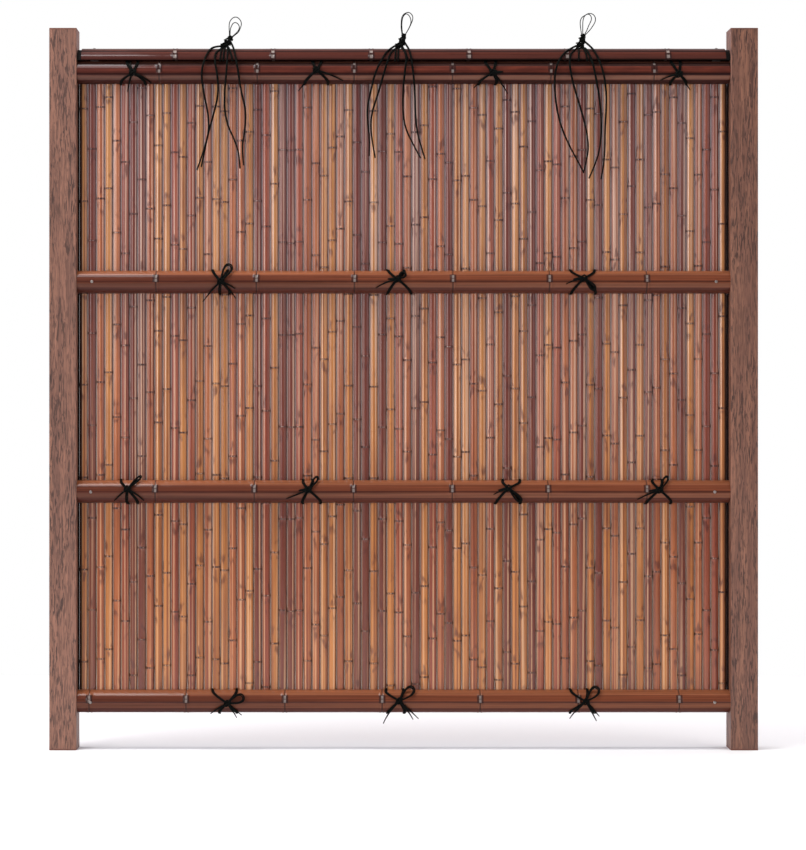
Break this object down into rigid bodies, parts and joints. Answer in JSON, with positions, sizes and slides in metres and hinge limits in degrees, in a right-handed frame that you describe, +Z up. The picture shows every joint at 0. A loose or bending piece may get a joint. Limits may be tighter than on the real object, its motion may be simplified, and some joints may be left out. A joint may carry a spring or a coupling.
{
  "type": "artificial bamboo fence panel",
  "caption": "One-sided artificial bamboo fence panel: upright slats behind four half-split rails and a cap, tied with black cord, between two square posts",
  "frame": {"origin": "the point on the ground midway between the two posts, on the posts' centre line", "axes": "+Z up the posts, +X along the fence to the right as seen from its good side, -Y towards the viewer of the good side"},
  "size_m": [1.95, 0.084, 2.0378],
  "materials": {
    "post_skin": "satin, under a brown embossed wood-grain film",
    "post_plug": "moulded brown plastic, satin",
    "frame_metal": "mill finish aluminium, satin",
    "slats": "smoked-bamboo print on plastic, satin",
    "rails": "dark red-brown smoked-bamboo plastic, glossy",
    "black_trim": "black moulded plastic",
    "palm_cord": "black dyed palm-fibre cord, dull"
  },
  "bodies": {
    "root": {"left_post": "post_skin", "right_post": "post_skin", "left_post_foot": "post_plug", "right_post_foot": "post_plug", "left_post_cap": "post_plug", "right_post_cap": "post_plug", "bottom_backing_rail": "frame_metal", "lower_middle_backing_rail": "frame_metal", "upper_middle_backing_rail": "frame_metal", "top_backing_rail": "frame_metal", "left_edge_strip": "frame_metal", "right_edge_strip": "frame_metal", "left_cap_saddle": "frame_metal", "right_cap_saddle": "frame_metal", "left_bottom_bracket": "frame_metal", "right_bottom_bracket": "frame_metal", "left_lower_middle_bracket": "frame_metal", "right_lower_middle_bracket": "frame_metal", "left_upper_middle_bracket": "frame_metal", "right_upper_middle_bracket": "frame_metal", "left_top_bracket": "frame_metal", "right_top_bracket": "frame_metal", "slat_bay_1": "slats", "slat_bay_2": "slats", "slat_bay_3": "slats", "slat_bay_4": "slats", "slat_bay_5": "slats", "slat_bay_6": "slats", "bottom_rail": "rails", "lower_middle_rail": "rails", "upper_middle_rail": "rails", "top_rail": "rails", "cap_bamboo": "rails", "left_cap_end": "black_trim", "right_cap_end": "black_trim", "bottom_rail_ties": "palm_cord", "lower_middle_rail_ties": "palm_cord", "upper_middle_rail_ties": "palm_cord", "top_rail_ties": "palm_cord", "left_cap_tie": "palm_cord", "middle_cap_tie": "palm_cord", "right_cap_tie": "palm_cord", "left_outer_left_tail": "palm_cord", "left_inner_left_tail": "palm_cord", "left_inner_right_tail": "palm_cord", "left_outer_right_tail": "palm_cord", "middle_outer_left_tail": "palm_cord", "middle_inner_left_tail": "palm_cord", "middle_inner_right_tail": "palm_cord", "middle_outer_right_tail": "palm_cord", "right_outer_left_tail": "palm_cord", "right_inner_left_tail": "palm_cord", "right_inner_right_tail": "palm_cord", "right_outer_right_tail": "palm_cord"}
  },
  "joints": []
}
